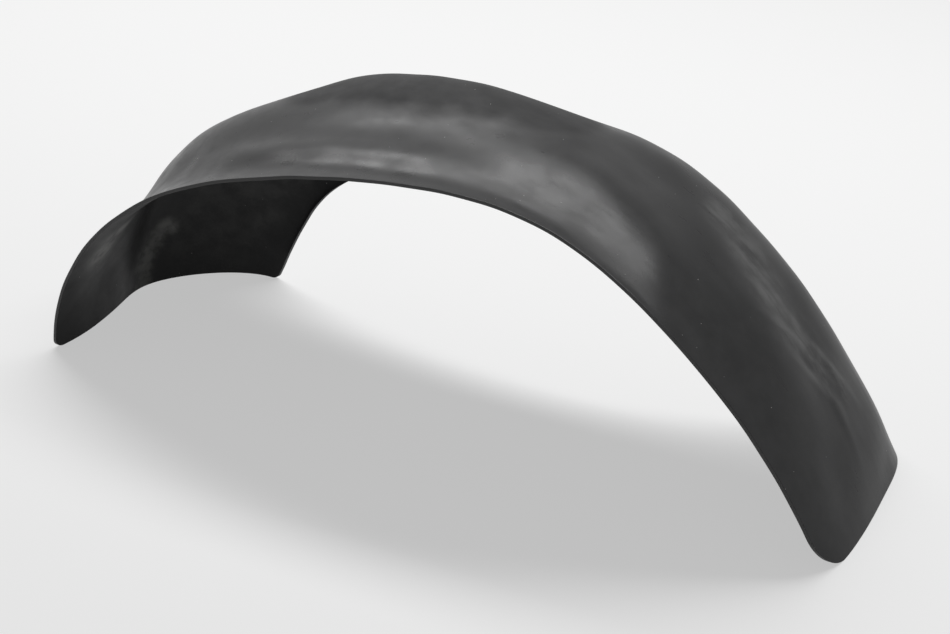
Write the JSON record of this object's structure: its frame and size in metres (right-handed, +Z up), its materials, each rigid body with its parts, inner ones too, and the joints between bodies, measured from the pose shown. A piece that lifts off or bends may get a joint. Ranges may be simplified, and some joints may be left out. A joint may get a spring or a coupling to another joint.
{
  "type": "wheel arch liner",
  "caption": "Wheel arch liner: a thin formed plastic shell that arches over a road wheel, with a flared outer lip, a bulged crown and a curved inner wall, trimmed flat at its ends.",
  "frame": {"origin": "on the plane that the trimmed ends stand on, under the middle of the liner's box", "axes": "+X along the car from the front foot to the rear foot, +Y from the outer lip in towards the car, +Z up"},
  "size_m": [0.6508, 0.1832, 0.243],
  "materials": {
    "liner_plastic": "satin black polyethylene sheet, as formed, with light scuffs and dust"
  },
  "bodies": {
    "root": {"arch_liner": "liner_plastic"}
  },
  "joints": []
}
